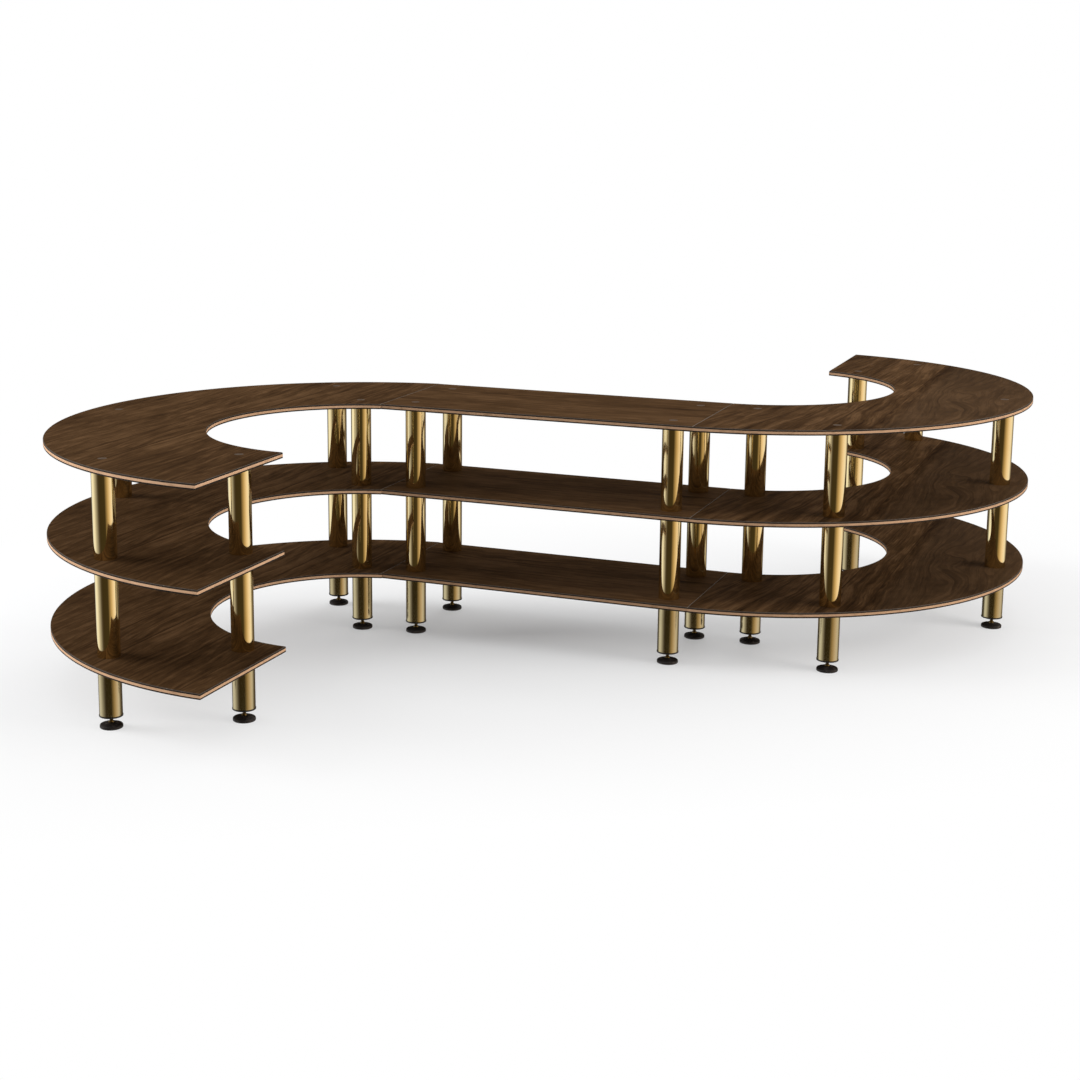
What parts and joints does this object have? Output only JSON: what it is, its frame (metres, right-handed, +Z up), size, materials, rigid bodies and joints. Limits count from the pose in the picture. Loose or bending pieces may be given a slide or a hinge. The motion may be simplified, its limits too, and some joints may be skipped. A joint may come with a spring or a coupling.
{
  "type": "buffet serving station",
  "caption": "S-shaped free-standing buffet serving station with open wood shelves on round brass posts and screw-adjusted levelling feet.",
  "frame": {"origin": "on the floor, under the middle of the plan's bounding box", "axes": "+X along the straight module to the right, +Y away from the viewer of the picture, +Z up"},
  "size_m": [2.4628, 2.847, 0.7],
  "materials": {
    "walnut_board": "dark walnut veneer with a satin lacquer, raw tan edge",
    "brass_tube": "polished brass finish",
    "black_plastic": "satin black moulding",
    "black_rubber": "black rubber-faced pad",
    "brass_screw": "satin brass screw",
    "zinc_rod": "zinc-plated steel",
    "bronze_nut": "dull bronze paint",
    "beech_dowel": "plain beech"
  },
  "bodies": {
    "station": {"left_bottom_shelf": "walnut_board", "left_middle_shelf": "walnut_board", "left_top_shelf": "walnut_board", "straight_bottom_shelf": "walnut_board", "straight_middle_shelf": "walnut_board", "straight_top_shelf": "walnut_board", "right_bottom_shelf": "walnut_board", "right_middle_shelf": "walnut_board", "right_top_shelf": "walnut_board", "left_leg_end_caps": "black_plastic", "left_threaded_bushes": "brass_screw", "left_legs": "brass_tube", "left_lower_posts": "brass_tube", "left_upper_posts": "brass_tube", "left_tie_rods": "zinc_rod", "left_cap_nuts": "bronze_nut", "straight_leg_end_caps": "black_plastic", "straight_threaded_bushes": "brass_screw", "straight_legs": "brass_tube", "straight_lower_posts": "brass_tube", "straight_upper_posts": "brass_tube", "straight_tie_rods": "zinc_rod", "straight_cap_nuts": "bronze_nut", "right_leg_end_caps": "black_plastic", "right_threaded_bushes": "brass_screw", "right_legs": "brass_tube", "right_lower_posts": "brass_tube", "right_upper_posts": "brass_tube", "right_tie_rods": "zinc_rod", "right_cap_nuts": "bronze_nut", "seam_dowels": "beech_dowel"},
    "left_pad_1": {"left_foot_pad_1": "black_rubber"},
    "left_stem_1": {"left_foot_stem_1": "brass_screw"},
    "left_pad_2": {"left_foot_pad_2": "black_rubber"},
    "left_stem_2": {"left_foot_stem_2": "brass_screw"},
    "left_pad_3": {"left_foot_pad_3": "black_rubber"},
    "left_stem_3": {"left_foot_stem_3": "brass_screw"},
    "left_pad_4": {"left_foot_pad_4": "black_rubber"},
    "left_stem_4": {"left_foot_stem_4": "brass_screw"},
    "left_pad_5": {"left_foot_pad_5": "black_rubber"},
    "left_stem_5": {"left_foot_stem_5": "brass_screw"},
    "straight_pad_1": {"straight_foot_pad_1": "black_rubber"},
    "straight_stem_1": {"straight_foot_stem_1": "brass_screw"},
    "straight_pad_2": {"straight_foot_pad_2": "black_rubber"},
    "straight_stem_2": {"straight_foot_stem_2": "brass_screw"},
    "straight_pad_3": {"straight_foot_pad_3": "black_rubber"},
    "straight_stem_3": {"straight_foot_stem_3": "brass_screw"},
    "straight_pad_4": {"straight_foot_pad_4": "black_rubber"},
    "straight_stem_4": {"straight_foot_stem_4": "brass_screw"},
    "right_pad_1": {"right_foot_pad_1": "black_rubber"},
    "right_stem_1": {"right_foot_stem_1": "brass_screw"},
    "right_pad_2": {"right_foot_pad_2": "black_rubber"},
    "right_stem_2": {"right_foot_stem_2": "brass_screw"},
    "right_pad_3": {"right_foot_pad_3": "black_rubber"},
    "right_stem_3": {"right_foot_stem_3": "brass_screw"},
    "right_pad_4": {"right_foot_pad_4": "black_rubber"},
    "right_stem_4": {"right_foot_stem_4": "brass_screw"},
    "right_pad_5": {"right_foot_pad_5": "black_rubber"},
    "right_stem_5": {"right_foot_stem_5": "brass_screw"}
  },
  "joints": [
    {"name": "left_foot_lift_1", "type": "slide", "parent": "station", "child": "left_pad_1", "axis": [0, 0, -1], "range_m": [-0.008, 0.012]},
    {"name": "left_foot_screw_1", "type": "hinge", "parent": "left_pad_1", "child": "left_stem_1", "pos_m": [-0.4965, -1.06189, 0.014], "axis": [0, 0, -1], "range_deg": [-1921, 2881]},
    {"name": "left_foot_lift_2", "type": "slide", "parent": "station", "child": "left_pad_2", "axis": [0, 0, -1], "range_m": [-0.008, 0.012]},
    {"name": "left_foot_screw_2", "type": "hinge", "parent": "left_pad_2", "child": "left_stem_2", "pos_m": [-0.7805, -1.24634, 0.014], "axis": [0, 0, -1], "range_deg": [-1921, 2881]},
    {"name": "left_foot_lift_3", "type": "slide", "parent": "station", "child": "left_pad_3", "axis": [0, 0, -1], "range_m": [-0.008, 0.012]},
    {"name": "left_foot_screw_3", "type": "hinge", "parent": "left_pad_3", "child": "left_stem_3", "pos_m": [-1.1545, -0.59855, 0.014], "axis": [0, 0, -1], "range_deg": [-1921, 2881]},
    {"name": "left_foot_lift_4", "type": "slide", "parent": "station", "child": "left_pad_4", "axis": [0, 0, -1], "range_m": [-0.008, 0.012]},
    {"name": "left_foot_screw_4", "type": "hinge", "parent": "left_pad_4", "child": "left_stem_4", "pos_m": [-0.7805, 0.04924, 0.014], "axis": [0, 0, -1], "range_deg": [-1921, 2881]},
    {"name": "left_foot_lift_5", "type": "slide", "parent": "station", "child": "left_pad_5", "axis": [0, 0, -1], "range_m": [-0.008, 0.012]},
    {"name": "left_foot_screw_5", "type": "hinge", "parent": "left_pad_5", "child": "left_stem_5", "pos_m": [-0.5925, -0.16474, 0.014], "axis": [0, 0, -1], "range_deg": [-1921, 2881]},
    {"name": "straight_foot_lift_1", "type": "slide", "parent": "station", "child": "straight_pad_1", "axis": [0, 0, -1], "range_m": [-0.008, 0.012]},
    {"name": "straight_foot_screw_1", "type": "hinge", "parent": "straight_pad_1", "child": "straight_stem_1", "pos_m": [-0.4275, -0.13564, 0.014], "axis": [0, 0, -1], "range_deg": [-1921, 2881]},
    {"name": "straight_foot_lift_2", "type": "slide", "parent": "station", "child": "straight_pad_2", "axis": [0, 0, -1], "range_m": [-0.008, 0.012]},
    {"name": "straight_foot_screw_2", "type": "hinge", "parent": "straight_pad_2", "child": "straight_stem_2", "pos_m": [-0.4275, 0.14036, 0.014], "axis": [0, 0, -1], "range_deg": [-1921, 2881]},
    {"name": "straight_foot_lift_3", "type": "slide", "parent": "station", "child": "straight_pad_3", "axis": [0, 0, -1], "range_m": [-0.008, 0.012]},
    {"name": "straight_foot_screw_3", "type": "hinge", "parent": "straight_pad_3", "child": "straight_stem_3", "pos_m": [0.3585, -0.13564, 0.014], "axis": [0, 0, -1], "range_deg": [-1921, 2881]},
    {"name": "straight_foot_lift_4", "type": "slide", "parent": "station", "child": "straight_pad_4", "axis": [0, 0, -1], "range_m": [-0.008, 0.012]},
    {"name": "straight_foot_screw_4", "type": "hinge", "parent": "straight_pad_4", "child": "straight_stem_4", "pos_m": [0.3585, 0.14036, 0.014], "axis": [0, 0, -1], "range_deg": [-1921, 2881]},
    {"name": "right_foot_lift_1", "type": "slide", "parent": "station", "child": "right_pad_1", "axis": [0, 0, -1], "range_m": [-0.008, 0.012]},
    {"name": "right_foot_screw_1", "type": "hinge", "parent": "right_pad_1", "child": "right_stem_1", "pos_m": [0.5235, 0.1543, 0.014], "axis": [0, 0, -1], "range_deg": [-1921, 2881]},
    {"name": "right_foot_lift_2", "type": "slide", "parent": "station", "child": "right_pad_2", "axis": [0, 0, -1], "range_m": [-0.008, 0.012]},
    {"name": "right_foot_screw_2", "type": "hinge", "parent": "right_pad_2", "child": "right_stem_2", "pos_m": [0.79175, -0.02959, 0.014], "axis": [0, 0, -1], "range_deg": [-1921, 2881]},
    {"name": "right_foot_lift_3", "type": "slide", "parent": "station", "child": "right_pad_3", "axis": [0, 0, -1], "range_m": [-0.008, 0.012]},
    {"name": "right_foot_screw_3", "type": "hinge", "parent": "right_pad_3", "child": "right_stem_3", "pos_m": [1.1545, 0.61157, 0.014], "axis": [0, 0, -1], "range_deg": [-1921, 2881]},
    {"name": "right_foot_lift_4", "type": "slide", "parent": "station", "child": "right_pad_4", "axis": [0, 0, -1], "range_m": [-0.008, 0.012]},
    {"name": "right_foot_screw_4", "type": "hinge", "parent": "right_pad_4", "child": "right_stem_4", "pos_m": [0.79175, 1.25273, 0.014], "axis": [0, 0, -1], "range_deg": [-1921, 2881]},
    {"name": "right_foot_lift_5", "type": "slide", "parent": "station", "child": "right_pad_5", "axis": [0, 0, -1], "range_m": [-0.008, 0.012]},
    {"name": "right_foot_screw_5", "type": "hinge", "parent": "right_pad_5", "child": "right_stem_5", "pos_m": [0.6405, 1.02148, 0.014], "axis": [0, 0, -1], "range_deg": [-1921, 2881]}
  ],
  "couplings": [
    {"joint": "left_foot_screw_1", "follows": "left_foot_lift_1", "rad_per_m": 4188.8},
    {"joint": "left_foot_screw_2", "follows": "left_foot_lift_2", "rad_per_m": 4188.8},
    {"joint": "left_foot_screw_3", "follows": "left_foot_lift_3", "rad_per_m": 4188.8},
    {"joint": "left_foot_screw_4", "follows": "left_foot_lift_4", "rad_per_m": 4188.8},
    {"joint": "left_foot_screw_5", "follows": "left_foot_lift_5", "rad_per_m": 4188.8},
    {"joint": "straight_foot_screw_1", "follows": "straight_foot_lift_1", "rad_per_m": 4188.8},
    {"joint": "straight_foot_screw_2", "follows": "straight_foot_lift_2", "rad_per_m": 4188.8},
    {"joint": "straight_foot_screw_3", "follows": "straight_foot_lift_3", "rad_per_m": 4188.8},
    {"joint": "straight_foot_screw_4", "follows": "straight_foot_lift_4", "rad_per_m": 4188.8},
    {"joint": "right_foot_screw_1", "follows": "right_foot_lift_1", "rad_per_m": 4188.8},
    {"joint": "right_foot_screw_2", "follows": "right_foot_lift_2", "rad_per_m": 4188.8},
    {"joint": "right_foot_screw_3", "follows": "right_foot_lift_3", "rad_per_m": 4188.8},
    {"joint": "right_foot_screw_4", "follows": "right_foot_lift_4", "rad_per_m": 4188.8},
    {"joint": "right_foot_screw_5", "follows": "right_foot_lift_5", "rad_per_m": 4188.8}
  ]
}
